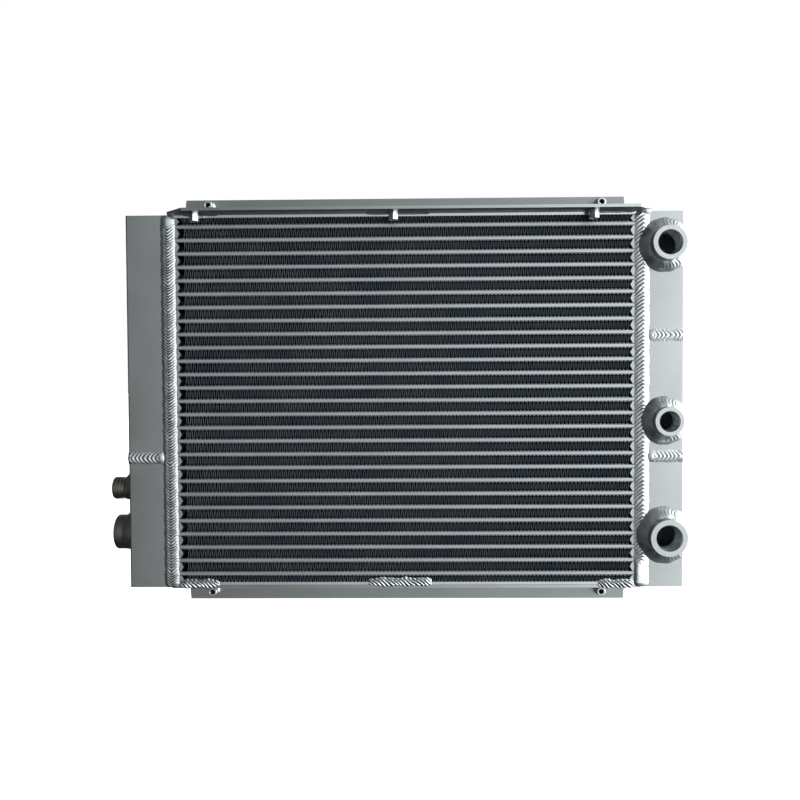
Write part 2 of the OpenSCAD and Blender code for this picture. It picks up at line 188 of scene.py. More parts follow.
def smoothstep(values, low, high):
    """0 below low, 1 above high and a smooth rise between them."""
    share = np.clip((values - low) / (high - low), 0, 1)
    return share * share * (3 - 2 * share)


def wobble(values, wavelength, seed):
    """Smooth noise between about -1 and 1, the same on every run."""
    random = np.random.default_rng(seed)
    total = np.zeros_like(np.asarray(values, float))
    waves, full_height = (1, 1.7, 2.9), 1.9
    for wave in waves:
        phase = random.uniform(0, math.tau)
        total += np.sin(values * math.tau * wave / wavelength + phase) / wave
    return total / full_height


# ---- Materials ----

# Where a Mix node for colours keeps them.
FIRST_COLOUR, SECOND_COLOUR, MIXED_COLOUR = 6, 7, 2

# Most values of a noise lie between these.
NOISE_MIDDLE = (0.3, 0.7)


def grey(level, tint=(0.92, 1.0, 1.02)):
    """A slightly cool metal grey of the given reflectance."""
    return tuple(level * part for part in tint)


def even(level):
    """The same level in red, green and blue, for shading another colour."""
    return (level, level, level)


class Graph:
    """Adds nodes to a node tree and wires them up."""

    def __init__(self, tree):
        self.tree = tree

    def add(self, kind, **settings):
        """A new node with the given settings."""
        node = self.tree.nodes.new(kind)
        for key, value in settings.items():
            setattr(node, key, value)
        return node

    def wire(self, output, node, socket):
        """Feeds an output into a node's socket."""
        self.tree.links.new(output, node.inputs[socket])

    def separate(self, vector):
        """A vector's X, Y and Z."""
        parts = self.add("ShaderNodeSeparateXYZ")
        self.wire(vector, parts, "Vector")
        return parts.outputs

    def span(self, value, start, end, low=0, high=1):
        """Turns start to end into low to high, and holds low and high beyond them."""
        node = self.add("ShaderNodeMapRange")
        numbers = {"From Min": start, "From Max": end, "To Min": low, "To Max": high}
        for socket, number in numbers.items():
            node.inputs[socket].default_value = number
        self.wire(value, node, "Value")
        return node.outputs["Result"]

    def ramp(self, value, stops):
        """Turns a value into a colour by (place, (r, g, b)) stops."""
        ramp = self.add("ShaderNodeValToRGB")
        elements = ramp.color_ramp.elements
        while len(elements) < len(stops):
            elements.new(0.5)
        for element, (place, colour) in zip(elements, stops):
            element.position = place
            element.color = (*colour, 1)
        self.wire(value, ramp, "Fac")
        return ramp.outputs["Color"]

    def times(self, first, second):
        """Product of two colours."""
        mix = self.add("ShaderNodeMix", data_type="RGBA", blend_type="MULTIPLY")
        mix.inputs["Factor"].default_value = 1
        self.wire(first, mix, FIRST_COLOUR)
        self.wire(second, mix, SECOND_COLOUR)
        return mix.outputs[MIXED_COLOUR]

    def product(self, first, second):
        """Product of two numbers."""
        node = self.add("ShaderNodeMath", operation="MULTIPLY")
        self.wire(first, node, 0)
        self.wire(second, node, 1)
        return node.outputs["Value"]


class Look(Graph):
    """A procedural material: a Principled shader and the textures wired into it."""

    def __init__(self, name, metallic=1.0, roughness=0.4):
        self.material = bpy.data.materials.new(name)
        self.material.use_nodes = True
        super().__init__(self.material.node_tree)
        self.shader = self.tree.nodes["Principled BSDF"]
        self.shader.inputs["Metallic"].default_value = metallic
        self.shader.inputs["Roughness"].default_value = roughness
        self.place = self.add("ShaderNodeTexCoord").outputs["Object"]
        self.height = None

    def grain(self, size, stretch=(1, 1, 1), detail=3.0, where=None):
        """Noise whose features are about size across, drawn out by stretch along each axis."""
        mapping = self.add("ShaderNodeMapping")
        mapping.inputs["Scale"].default_value = [1 / factor for factor in stretch]
        self.wire(where or self.place, mapping, "Vector")
        noise = self.add("ShaderNodeTexNoise")
        noise.inputs["Scale"].default_value = 0.5 / size
        noise.inputs["Detail"].default_value = detail
        self.wire(mapping.outputs["Vector"], noise, "Vector")
        return noise.outputs["Fac"]

    def about_axis(self):
        """Radius and height about the piece's own Z axis, for turning marks."""
        x, y, z = self.separate(self.place)
        flat = self.add("ShaderNodeCombineXYZ")
        self.wire(x, flat, "X")
        self.wire(y, flat, "Y")
        length = self.add("ShaderNodeVectorMath", operation="LENGTH")
        self.wire(flat.outputs["Vector"], length, 0)
        pair = self.add("ShaderNodeCombineXYZ")
        self.wire(length.outputs["Value"], pair, "X")
        self.wire(z, pair, "Z")
        return pair.outputs["Vector"]

    def spread(self, noise, low, high):
        """Turns the middle of a noise into low to high."""
        return self.span(noise, *NOISE_MIDDLE, low, high)

    def mottle(self, noise, first, second):
        """Turns the middle of a noise into the first to the second colour."""
        return self.ramp(noise, list(zip(NOISE_MIDDLE, (first, second))))

    def bump(self, value, depth):
        """Adds relief of the given depth, on top of any relief already there."""
        bump = self.add("ShaderNodeBump")
        bump.inputs["Distance"].default_value = depth
        self.wire(value, bump, "Height")
        if self.height:
            self.wire(self.height, bump, "Normal")
        self.height = bump.outputs["Normal"]

    def done(self, colour, roughness):
        """Wires colour, roughness and relief into the shader and returns the material."""
        self.wire(colour, self.shader, "Base Color")
        self.wire(roughness, self.shader, "Roughness")
        if self.height:
            self.wire(self.height, self.shader, "Normal")
        return self.material


def rolled_metal(name, level, streak, roughness):
    """Rolled or extruded aluminium: fine lines along streak, broad smudges and a few dull specks."""
    look = Look(name)
    lines = look.grain(0.35 * MM, streak, 2)
    smudges = look.grain(22 * MM, (1, 1, 1), 4)
    specks = look.grain(1.1 * MM, (1, 1, 1), 2)
    colour = look.mottle(smudges, grey(level * 0.93), grey(level * 1.04))
    spotted = look.ramp(specks, [(0.28, even(0.93)), (0.4, even(1))])
    look.bump(lines, 0.02 * MM)
    look.bump(specks, 0.008 * MM)
    return look.done(look.times(colour, spotted), look.spread(smudges, *roughness))


def both_faces(stops):
    """Ramp stops over the core's depth from (metres behind the front face, colour), mirrored at the
    rear face."""
    near = [(reach / (REAR_Y - FRONT_Y), colour) for reach, colour in stops]
    return near + [(1 - place, colour) for place, colour in reversed(near)]


def fin_sheet_with_painted_light(look, x, depth, from_channel):
    """The fin sheet's colour with painted light: a painted highlight on its front and rear edges, and
    painted shade inwards, to the right and near the channels."""
    tint = (0.84, 0.98, 1.06)
    # Painted light over the depth: edge is a painted highlight, lit and deep are lighter and darker
    # painted shade.
    edge, lit, deep = grey(0.64, tint), grey(0.22, tint), grey(0.01, tint)
    sheet = look.ramp(depth, both_faces([
        (0, edge), (0.4 * MM, edge), (0.8 * MM, lit), (1.5 * MM, lit), (5 * MM, deep)
    ]))
    # Painted shade towards the right, and near the channels.
    painted_rightward_shade = look.span(x, -HALF_W, HALF_W, 1, 0.42)
    shade = look.span(from_channel, CHANNEL_H / 2 + MM, CHANNEL_H / 2 + 3 * MM, 0.3, 1)
    return look.times(look.times(sheet, painted_rightward_shade), shade)


def braze_and_painted_highlight(look, depth, from_channel):
    """How much braze and a painted highlight brighten a place: fully on the crests' edges, a little on
    the parting sheets'.
    """
    row, blur, on_sheets = CHANNEL_H / 2, 0.05 * MM, 0.15
    crest = look.span(from_channel, row + 0.85 * MM, row + 0.55 * MM)
    share = look.span(from_channel, row - blur, row + blur, on_sheets, 1)
    face = look.ramp(depth, both_faces([(0, even(1)), (0.4 * MM, even(1)), (0.8 * MM, even(0))]))
    return look.product(crest, look.product(share, face))


def fin_metal():
    """Thin fin sheet with brazed crests and painted light, for the fins, the parting sheets and the
    turbulators.
    """
    look = Look("fin_metal", metallic=0.85)
    look.shader.inputs["Specular Tint"].default_value = (*even(0.3), 1)
    x, y, z = look.separate(look.place)
    depth = look.span(y, FRONT_Y, REAR_Y)
    fold = look.add("ShaderNodeMath", operation="PINGPONG")
    fold.inputs[1].default_value = LAYER_PITCH / 2
    look.wire(z, fold, 0)
    from_channel = fold.outputs["Value"]
    mix = look.add("ShaderNodeMix", data_type="RGBA")
    mix.inputs[SECOND_COLOUR].default_value = (*grey(0.5), 1)
    look.wire(braze_and_painted_highlight(look, depth, from_channel), mix, "Factor")
    look.wire(fin_sheet_with_painted_light(look, x, depth, from_channel), mix, FIRST_COLOUR)
    patches = look.grain(9 * MM, (2, 1, 0.6), 3)
    tone = look.mottle(patches, (0.6, 0.66, 0.8), even(1))
    look.bump(look.grain(0.4 * MM, (1, 6, 1), 2), 0.015 * MM)
    return look.done(look.times(mix.outputs[MIXED_COLOUR], tone), look.spread(patches, 0.38, 0.62))


def turned_metal(name, level, roughness, tint=(0.92, 1.0, 1.02)):
    """Machined metal with turning marks about the piece's own axis."""
    look = Look(name)
    marks = look.grain(0.3 * MM, (1, 1, 1), 2, look.about_axis())
    stains = look.grain(5 * MM, (1, 1, 1), 4)
    colour = look.mottle(stains, grey(level * 0.9, tint), grey(level, tint))
    look.bump(marks, 0.03 * MM)
    return look.done(colour, look.spread(marks, *roughness))


def plated_metal():
    """Zinc plating: bright, slightly blue, finely mottled."""
    look = Look("zinc_plate")
    spangle = look.grain(0.9 * MM, (1, 1, 1), 3)
    colour = look.mottle(spangle, (0.66, 0.70, 0.74), (0.84, 0.86, 0.88))
    look.bump(spangle, 0.012 * MM)
    return look.done(colour, look.spread(spangle, 0.22, 0.4))


def weld_metal(name, level, roughness):
    """Frozen weld metal: dark hollows, partly oxide and partly painted shade, grey oxide in patches, a
    finely wrinkled skin.
    """
    look = Look(name)
    oxide = look.grain(3.2 * MM, (1, 1, 1), 5)
    wrinkles = look.grain(0.5 * MM, (1, 1, 1), 3)
    colour = look.ramp(oxide, [(0.32, grey(level * 0.84)), (0.6, grey(level))])
    # Darker in concave places: partly oxide in the hollows, partly painted shade.
    hollow_oxide_and_shade = look.ramp(look.add("ShaderNodeNewGeometry").outputs["Pointiness"], [
        (0.42, even(0.06)), (0.485, even(0.5)), (0.503, even(1))
    ])
    look.bump(wrinkles, 0.05 * MM)
    return look.done(look.times(colour, hollow_oxide_and_shade), look.spread(oxide, *roughness))


# A rolled metal's level of grey, how far its lines are drawn out along X, Y and Z, and its roughness.
BAR_METAL = rolled_metal("bar_metal", 0.63, (40, 1, 1), (0.34, 0.5))
PLATE_METAL = rolled_metal("plate_metal", 0.8, (40, 1, 1), (0.12, 0.22))
TANK_METAL = rolled_metal("tank_metal", 0.58, (1, 1, 60), (0.4, 0.48))
# The top bracket's copy is darker than the bottom one's: painted shade under its lip.
SHADED_TOP_BRACKET_METAL = rolled_metal("top_bracket_metal", 0.38, (50, 1, 1), (0.34, 0.52))
BOTTOM_BRACKET_METAL = rolled_metal("bottom_bracket_metal", 0.46, (50, 1, 1), (0.34, 0.52))
SHEARED_METAL = rolled_metal("sheared_metal", 0.55, (1, 1, 6), (0.34, 0.5))
# A dark copy for the top bracket's underside: painted shade under the lip.
UNDERSIDE_SHADE_METAL = rolled_metal("stained_metal", 0.24, (50, 1, 1), (0.4, 0.55))
# Nearly black bores: partly unplated steel, partly painted shade.
NUT_BORE_STEEL_AND_SHADE = rolled_metal("nut_bore_metal", 0.08, (1, 1, 1), (0.5, 0.6))
FIN_METAL = fin_metal()
NUT_METAL = plated_metal()

# A turned or molten metal's level of grey and its roughness.
PORT_METAL = turned_metal("port_metal", 0.64, (0.24, 0.36))
# A darker, slightly warm copy of the port metal for the left-facing ports: painted shade.
SHADED_PORT_METAL = turned_metal("side_port_metal", 0.36, (0.36, 0.5), (1, 1, 0.9))
BORE_METAL = turned_metal("bore_metal", 0.7, (0.35, 0.5))
SEAM_METAL = weld_metal("seam_metal", 0.86, (0.16, 0.34))
STITCH_METAL = weld_metal("stitch_metal", 0.85, (0.2, 0.38))
FILLET_METAL = weld_metal("fillet_metal", 0.95, (0.25, 0.42))
# A darker copy of the weld metal for the side ports' rings and the top bracket's welds: painted shade.
SHADED_WELD_METAL = weld_metal("side_fillet_metal", 0.5, (0.35, 0.5))


# ---- Core ----

def offset_line(line, distance):
    """A flat line moved sideways by distance, with its corners mitred."""
    steps = np.diff(line, axis=0)
    steps /= np.linalg.norm(steps, axis=1)[:, None]
    normals = np.column_stack([-steps[:, 1], steps[:, 0]])
    before = np.vstack([normals[:1], normals])
    after = np.vstack([normals, normals[-1:]])
    mitre = before + after
    mitre *= 2 / np.sum(mitre * mitre, axis=1)[:, None]
    return line + distance * mitre


def fin_row(bottom, top, low_x, high_x):
    """One corrugated strip: flat crests on the sheets, and walls that weave sideways in the depth."""
    pitch, crest, sheet = 3.76 * MM, 1.4 * MM, 0.25 * MM
    weave, bends, fillet, set_back = 1.15 * MM, 6, 0.4 * MM, 0.2 * MM
    waves = int((high_x - low_x) / pitch)
    pitch = (high_x - low_x) / waves
    low, high = bottom + sheet / 2, top - sheet / 2
    wave = [(0, low), (crest, low), (pitch / 2, high), (pitch / 2 + crest, high)]
    line = np.array([(low_x + i * pitch + x, z) for i in range(waves) for x, z in wave])
    at_foot = np.isclose(line[:, 1], low)
    upper, lower = offset_line(line, sheet / 2), offset_line(line, -sheet / 2)
    upper[at_foot, 1] += fillet
    lower[~at_foot, 1] -= fillet
    depths = np.linspace(FRONT_Y + set_back, REAR_Y - set_back, bends + 1)
    shifts = np.where(np.arange(bends + 1) % 2, -weave, weave)

    def across(edge, order):
        """The edge line at each bend, in the given order."""
        return [
            np.column_stack([edge[:, 0] + shifts[i], np.full(len(edge), depths[i]), edge[:, 1]])
            for i in order
        ]

    there = across(upper, range(bends + 1))
    back = across(lower, range(bends, -1, -1))
    return skin(np.stack(there + back, axis=1))


def make_fins():
    """The corrugated strips of every air row; they lie nearer to the right air bars than to the left."""
    more_left, more_right = 1.5 * MM, 3.5 * MM
    for node in ("upper_pass_fins", "middle_pass_fins", "lower_circuit_fins"):
        low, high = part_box(node)
        rows = [row for row in AIR_ROWS if low.z - MM < row.mean() < high.z + MM]
        left, right = low.x - more_left, high.x + more_right
        parts = [fin_row(bottom, top, left, right) for bottom, top in rows]
        piece(node + "_wavy", parts, FIN_METAL, [node], crease=30)


def make_core():
    """Fins, bars, side plates and sheets. The top side plate's front face leans back towards its foot."""
    make_fins()
    for node in ("front_channel_bars", "rear_channel_bars", "left_air_bars", "right_air_bars"):
        softened(node, BAR_EDGE, BAR_METAL)
    top_plate = softened("top_side_plate", BAR_EDGE, PLATE_METAL)
    softened("bottom_side_plate", BAR_EDGE, PLATE_METAL)
    out_of_square = 0.13
    for vertex in top_plate.data.vertices:
        if vertex.co.y < FRONT_Y + MM:
            vertex.co.y += out_of_square * (HALF_H - vertex.co.z)
    for node in ("parting_sheets", "channel_turbulators"):
        recolour(node, FIN_METAL)


# ---- Welds ----

# The first seed of the noise in each kind of weld.
SEAM_SEED, PARTITION_SEED, REAR_STITCH_SEED, FRONT_STITCH_SEED, LUMP_SEED = 10, 20, 60, 70, 80


def tank_wrap(reach):
    """Place and outward direction on the right tank's outside, reach metres round it from the core's
    centre plane along the front: (x, y), (direction x, direction y)."""
    flat = TANK_X - TANK_CORNER
    quarter = TANK_CORNER * math.pi / 2
    side = REAR_Y - FRONT_Y - 2 * TANK_CORNER
    if reach < flat:
        return (reach, FRONT_Y), (0, -1)
    if reach < flat + quarter:
        turn = (reach - flat) / TANK_CORNER
        out = (math.sin(turn), -math.cos(turn))
        return (flat + TANK_CORNER * out[0], FRONT_Y + TANK_CORNER * (1 + out[1])), out
    if reach < flat + quarter + side:
        return (TANK_X, FRONT_Y + TANK_CORNER + reach - flat - quarter), (1, 0)
    if reach < flat + 2 * quarter + side:
        turn = (reach - flat - quarter - side) / TANK_CORNER
        out = (math.cos(turn), math.sin(turn))
        return (flat + TANK_CORNER * out[0], REAR_Y - TANK_CORNER * (1 - out[1])), out
    return (flat - (reach - flat - 2 * quarter - side), REAR_Y), (0, 1)


def scale_profile(phase):
    """Height of one fish scale along its length: a rounded rise, then a rounded, steeper drop."""
    along = phase - np.floor(phase)
    peak = 0.68
    rise = np.sin(np.clip(along / peak, 0, 1) * math.pi / 2)
    return np.where(along < peak, rise, np.cos((along - peak) / (1 - peak) * math.pi / 2))


def steps_along(path, ripple, steps_a_ripple=10):
    """Even steps along a path of (point, outward direction), some to each ripple: the length walked,
    the centre, the direction up from the surface and the direction sideways."""
    points = np.array([point for point, out in path], float)
    outs = np.array([out for point, out in path], float)
    lengths = np.concatenate([[0], np.cumsum(np.linalg.norm(np.diff(points, axis=0), axis=1))])
    count = max(8, int(lengths[-1] / ripple * steps_a_ripple))
    along = np.linspace(0, lengths[-1], count)
    centre = np.column_stack([np.interp(along, lengths, points[:, axis]) for axis in range(3)])
    up = np.column_stack([np.interp(along, lengths, outs[:, axis]) for axis in range(3)])
    up /= np.linalg.norm(up, axis=1)[:, None]
    ahead = np.gradient(centre, axis=0)
    ahead /= np.linalg.norm(ahead, axis=1)[:, None]
    return along, centre, up, np.cross(ahead, up)


def bead(path, width, height, ripple=3 * MM, apex=0.42, ridge=0.0, fade=0.0, slant=0.0, rough=0.45,
         calm=0, lean=0.0, wander=0.06, seed=0, taper=4 * MM):
    """A ripple weld along a path of (point, outward direction); its scales point along the path.
    apex is how far the scales bulge ahead, as a share of the width, ridge where their point and the
    crown's top lie between the edges -1 and 1, fade how much they weaken from there to edge 1, slant
    how they lean, rough their share of the height, calm the length of a smooth first stretch, lean how
    far the ridge lies aside there, wander the share by which the size varies and taper the length over
    which both ends run out."""
    along, centre, up, side = steps_along(path, ripple)
    places_across, sunk, tuck = 17, 0.4 * MM, 0.98
    scale_power, rim_power, crown_power = 1.3, 6, 1.7
    calm_share, end_share, unevenness = 0.1, 0.55, 0.3
    u = np.linspace(-1, 1, places_across)[None, :]
    s = along[:, None]

    # How far the smooth start is over, and how far each place lies from the ridge.
    settled = smoothstep(s, calm * 0.6, calm + MM)
    rough_here = rough * (calm_share + (1 - calm_share) * settled)
    ridge_here = ridge + lean * (1 - settled)
    from_ridge = np.abs(u - ridge_here) / np.where(u > ridge_here, 1 - ridge_here, 1 + ridge_here)

    # The scales follow each other along the path, bulging ahead at the ridge and flat at the rims.
    jitter = unevenness * wobble(s, 9 * ripple, seed)
    ahead = apex * width * (1 - from_ridge ** scale_power) + slant * width * u
    scales = scale_profile((s - ahead) / ripple + jitter)
    scales = scales * (1 - u ** rim_power) * (1 - fade * smoothstep(u, ridge_here, 1))

    # Height and width, which both shrink towards the ends.
    ends = np.clip(np.minimum(s, along[-1] - s) / taper, 0, 1) ** 0.5
    crown = (1 - from_ridge ** crown_power) * (1 - wander * (1 + wobble(s, 6 * ripple, seed + 1)))
    rise = height * ends * ((1 - rough_here) * crown + rough_here * scales * np.sqrt(crown))
    edge = 1 + wander * (wobble(s, 5 * ripple, seed + 2) + scale_profile(s / ripple) - 1)
    spread = width / 2 * edge * (end_share + (1 - end_share) * ends)

    crest = centre[:, None] + side[:, None] * (u * spread)[..., None] + up[:, None] * rise[..., None]
    toes = [centre + side * spread * sign * tuck - up * sunk for sign in (1, -1)]
    return skin(np.concatenate([crest, np.stack(toes, axis=1)], axis=1))


def straight(start, end, out):
    """A path between two places whose surface faces out all the way."""
    return [(start, out), (end, out)]


def make_seams():
    """Four seams join core and tanks. At the front their scales point down on the left and up on the
    right. start and end say which corner of its CAD box a seam starts and ends at."""
    height = 2 * MM
    for seed, (name, start, end, ridge, fade, ripple, calm, lean) in enumerate((
        ("front_left_seam", 1, 0, 0.15, 0, 2.9 * MM, 14 * MM, 0),
        ("front_right_seam", 0, 1, 0.12, 0.75, 4 * MM, 32 * MM, -0.6),
        ("rear_left_seam", 0, 1, 0, 0, 3.2 * MM, 12 * MM, 0),
        ("rear_right_seam", 1, 0, 0, 0, 3.2 * MM, 12 * MM, 0),
    )):
        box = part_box(name)
        x = (box[0].x + box[1].x) / 2
        front = name.startswith("front")
        y, out = (FRONT_Y, -1) if front else (REAR_Y, 1)
        path = straight((x, y, box[start].z), (x, y, box[end].z), (0, out, 0))
        shape = bead(path, box[1].x - box[0].x, height, ripple, ridge=ridge, fade=fade, calm=calm,
                     lean=lean, seed=SEAM_SEED + seed)
        piece(name + "_bead", [shape], SEAM_METAL, [name])


def make_partition_welds():
    """A bead round the three outer faces of a tank at each partition, from seam to seam. It starts
    and ends a little under them."""
    height, ripple, calm, places, under_seam = 1.45 * MM, 4.2 * MM, 7 * MM, 400, 0.8
    around = 2 * (TANK_X - HALF_W) + REAR_Y - FRONT_Y - (4 - math.pi) * TANK_CORNER
    inset = (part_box("front_right_seam")[1].x - HALF_W) * under_seam
    reaches = np.linspace(HALF_W + inset, HALF_W + around - inset, places)
    for seed, (name, side) in enumerate((
        ("left_partition_weld", -1), ("right_upper_partition_weld", 1),
        ("right_lower_partition_weld", 1),
    )):
        low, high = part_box(name)
        level = (low.z + high.z) / 2
        path = []
        for reach in reaches:
            (x, y), (out_x, out_y) = tank_wrap(reach)
            path.append(((side * x, y, level), (side * out_x, out_y, 0)))
        shape = bead(path, high.z - low.z, height, ripple, rough=0.55, calm=calm,
                     seed=PARTITION_SEED + seed)
        piece(name + "_bead", [shape], STITCH_METAL, [name])


def fillet_section(wall, corner, toe, bulge, relief, around):
    """A fillet's places from the port's wall to its toe, pulled towards a corner between them. Its
    ripples stand out along bulge by up to relief and are pushed ahead in the middle, and around is how
    many of them came before. Nothing reaches past the CAD model's right end."""
    pushed, places = 1.3, []
    for step in np.linspace(0, 1, 13):
        base = wall * (1 - step) ** 2 + corner * 2 * step * (1 - step) + toe * step ** 2
        phase = around - pushed * (1 - (2 * step - 1) ** 2)
        ridge = relief * scale_profile(np.array(phase)) * math.sin(math.pi * step)
        place = base + bulge * float(ridge)
        place.x = min(place.x, cad_box[1].x)
        places.append(place)
    return places


def fillet_ring(centre, radius, leg, rise, surface, axes, seed, droop=0.0):
    """A ring of weld between a round port and the surface under it. axes are the two in-plane
    directions and the port's own. Its ripples fade out to the left and right, and droop is the share
    by which the ring is narrower at its lowest place."""
    right, up, axis = (Vector(direction) for direction in axes)
    fullness, ripple, relief, under_port, sunk = 0.6, 3.4 * MM, 0.5 * MM, 0.6 * MM, 0.5 * MM

    # At every turn: how strong the ripples are, the ring's leg, and a lump added to its size.
    turns = np.linspace(0, math.tau, 240, endpoint=False)
    rightward = np.cos(turns)
    strengths = smoothstep(rightward, -0.6, 0.4) * (1 - 0.9 * smoothstep(rightward, 0.6, 0.95))
    legs = leg * (1 - droop * (1 - np.sin(turns)) / 2)
    lumps_and_sizes = ((2, 0.04), (5, 0.03), (13, 0.03))
    lumps = sum(size * np.sin(count * turns + seed * count) for count, size in lumps_and_sizes)

    loops = []
    for turn, leg_here, lump, strength in zip(turns, legs, lumps, strengths):
        radial = right * math.cos(turn) + up * math.sin(turn)
        lump *= 0.3 + 0.7 * strength
        wall = centre + radial * radius + axis * rise * (1 + lump)
        toe, toe_out = surface(centre + radial * (radius + leg_here * (1 + lump)))
        corner = centre + radial * (radius + leg_here * fullness) + axis * rise * fullness
        around = turn * (radius + leg_here / 2) / ripple
        bulge = (axis + radial).normalized()
        loop = fillet_section(wall, corner, toe, bulge, relief * strength, around)
        loop.append(toe - toe_out * sunk)
        loop.append(centre + radial * (radius - under_port) - axis * sunk)
        loops.append([tuple(point) for point in loop])
    return skin(loops, ring=True)


def on_front(place):
    """The right tank's surface under a place in front of it."""
    (x, y), (out_x, out_y) = tank_wrap(place.x)
    return Vector((x, y, place.z)), Vector((out_x, out_y, 0))


def on_left_side(place):
    """The left tank's side under a place beside it."""
    return Vector((-TANK_X, place.y, place.z)), Vector((-1, 0, 0))


class Port:
    """Sizes of one threaded port: its foot on the tank, radii, height, and its weld's leg and rise."""

    def __init__(self, name, kind):
        self.node = f"{name}_{kind}_port"
        self.weld = f"{name}_port_weld"
        low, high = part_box(self.node)
        weld_low, weld_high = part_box(self.weld)
        thread = "port_thread" if kind == "front" else "side_port_thread"
        mount = MOUNTS[f"{name}_{thread}"]
        self.bore = mount["dims"]["r_mm"] * MM
        self.radius = (high.z - low.z) / 2
        middle = (low + high) / 2
        if kind == "front":
            self.foot = Vector((middle.x, FRONT_Y, middle.z))
            self.height, self.rise = FRONT_Y - low.y, FRONT_Y - weld_low.y
            self.mouth = mount["pos_m"][1] - low.y
        else:
            self.foot = Vector((-TANK_X, middle.y, middle.z))
            self.height, self.rise = -TANK_X - low.x, -TANK_X - weld_low.x
            self.mouth = mount["pos_m"][0] - low.x
        self.leg = (weld_high.z - weld_low.z) / 2 - self.radius


FRONT_PORTS = [Port(name, "front") for name in ("upper", "middle", "lower")]
SIDE_PORTS = [Port(name, "side") for name in ("small", "large")]


def make_port_welds():
    """A ring of weld at the foot of every port; the side ports' rings are fuller above than below."""
    front_axes = ((1, 0, 0), (0, 0, 1), (0, -1, 0))
    side_axes = ((0, 1, 0), (0, 0, 1), (-1, 0, 0))
    for seed, port in enumerate(FRONT_PORTS):
        ring = fillet_ring(port.foot, port.radius, port.leg, port.rise, on_front, front_axes, seed)
        piece(port.weld + "_bead", [ring], FILLET_METAL, [port.weld])
    more_rise = 1.15
    for seed, port in enumerate(SIDE_PORTS, start=len(FRONT_PORTS)):
        ring = fillet_ring(port.foot, port.radius, port.leg, port.rise * more_rise, on_left_side,
                           side_axes, seed, droop=0.8)
        # The darker weld metal here is painted shade on the left-facing rings.
        piece(port.weld + "_bead", [ring], SHADED_WELD_METAL, [port.weld])


def rear_stitch(start, end, z, seed):
    """A stitch at the rear, along a side plate's edge on its bracket."""
    path = straight((start, REAR_Y, z), (end, REAR_Y, z), (0, 1, 0))
    return bead(path, 4.5 * MM, 1.5 * MM, ripple=2.6 * MM, seed=REAR_STITCH_SEED + seed)


def shaded_stitch(start, end, seed):
    """A faint stitch under the top bracket's lip, facing down and forward."""
    z = HALF_H - 0.3 * MM
    path = straight((start, FRONT_Y, z), (end, FRONT_Y, z), (0, -0.7, -0.7))
    return bead(path, 4 * MM, MM, ripple=2.6 * MM, rough=0.2, wander=0.2,
                seed=FRONT_STITCH_SEED + seed)


def coarse_stitch(start, end, z, seed):
    """A broad stitch with slanted ripples over the bottom bracket's front edge."""
    path = straight((start, FRONT_Y, z), (end, FRONT_Y, z), (0, -1, 0))
    return bead(path, 9.5 * MM, 2 * MM, ripple=4.3 * MM, slant=0.5, apex=0.1, rough=0.8, wander=0.2,
                seed=FRONT_STITCH_SEED + seed, taper=7 * MM)


def seam_lump():
    """The lump that closes the right seam's top in front of the top bracket."""
    y, z = FRONT_Y + MM, HALF_H + 0.3 * MM
    start, end = HALF_W - 3 * MM, HALF_W + 9.5 * MM
    path = straight((start, y, z), (end, y, z), (0, -0.95, 0.3))
    return bead(path, 8 * MM, 4 * MM, ripple=9 * MM, rough=0.15, seed=LUMP_SEED, taper=6 * MM)


def make_bracket_welds():
    """Front and rear stitches of both brackets. The bottom ones are moved a little left of their CAD
    solids, or raised, as the photo shows."""
    runs = levels("bottom_bracket_welds", 0).reshape(-1, 2)
    moved_start, moved_end = (-7 * MM, 0, 0), (-3 * MM, 0, 0)
    raised = (0.5 * MM, 2 * MM, 0)
    top, bottom = [], []
    for seed, (start, end) in enumerate(runs):
        top.append(rear_stitch(start, end, HALF_H - PLATE / 2, seed))
        top.append(shaded_stitch(start, end, seed))
        bottom.append(rear_stitch(start, end, PLATE / 2 - HALF_H, seed))
        first, last = start + moved_start[seed], end + moved_end[seed]
        bottom.append(coarse_stitch(first, last, FOOT_Z + PLATE + raised[seed], seed))
    top.append(seam_lump())
    # The top bracket's welds get the darker weld metal: painted shade under the lip.
    piece("top_bracket_welds_beads", top, SHADED_WELD_METAL, ["top_bracket_welds"])
    piece("bottom_bracket_welds_beads", bottom, STITCH_METAL, ["bottom_bracket_welds"])


# ---- Ports ----

def threaded(low, high, radius, pitch, turn):
    """The thread down a bore at one angle: (radius, height) places from high to low."""
    places_a_turn, depth_share, flat = 6, 0.5, 0.125
    heights = np.linspace(high, low, int((high - low) / pitch * places_a_turn))
    phase = heights / pitch - turn / math.tau
    ridge = np.abs((phase - np.floor(phase)) * 2 - 1)
    depth = depth_share * pitch * np.clip((1 + 2 * flat) * ridge - flat, 0, 1)
    fade = np.clip(np.minimum(high - heights, heights - low) / pitch, 0, 1)
    return list(zip(radius + depth * fade, heights))


def lathe(profile_at, axis_place, turns=120):
    """A turned shape about its own Z axis, put in place. profile_at gives its (radius, height) places
    at an angle."""
    loops = []
    for turn in np.linspace(0, math.tau, turns, endpoint=False):
        loops.append([
            axis_place @ Vector((radius * math.cos(turn), radius * math.sin(turn), height))
            for radius, height in profile_at(turn)
        ])
    return skin([[tuple(point) for point in loop] for loop in loops], ring=True)


def paint(made, material, chosen):
    """Gives another material to the faces that chosen picks by their centre and direction."""
    made.data.materials.append(material)
    for face in made.data.polygons:
        if chosen(face.center, face.normal):
            face.material_index = len(made.data.materials) - 1


def line_bores(made, material, axes, radius, low, high):
    """Gives the faces inside bores along the given axis places another material."""
    inverses = [axis.inverted() for axis in axes]

    def inside(centre, normal):
        """Faces within a bore's radius and height."""
        places = [inverse @ centre for inverse in inverses]
        return any(math.hypot(place.x, place.y) < radius and low < place.z < high for place in places)

    paint(made, material, inside)


def rounded_tip(radius, height, edge):
    """The outer corner at a port's tip, rounded over."""
    return [
        (radius - edge * (1 - math.cos(turn)), height - edge * (1 - math.sin(turn)))
        for turn in np.linspace(0, math.pi / 2, 5)
    ]


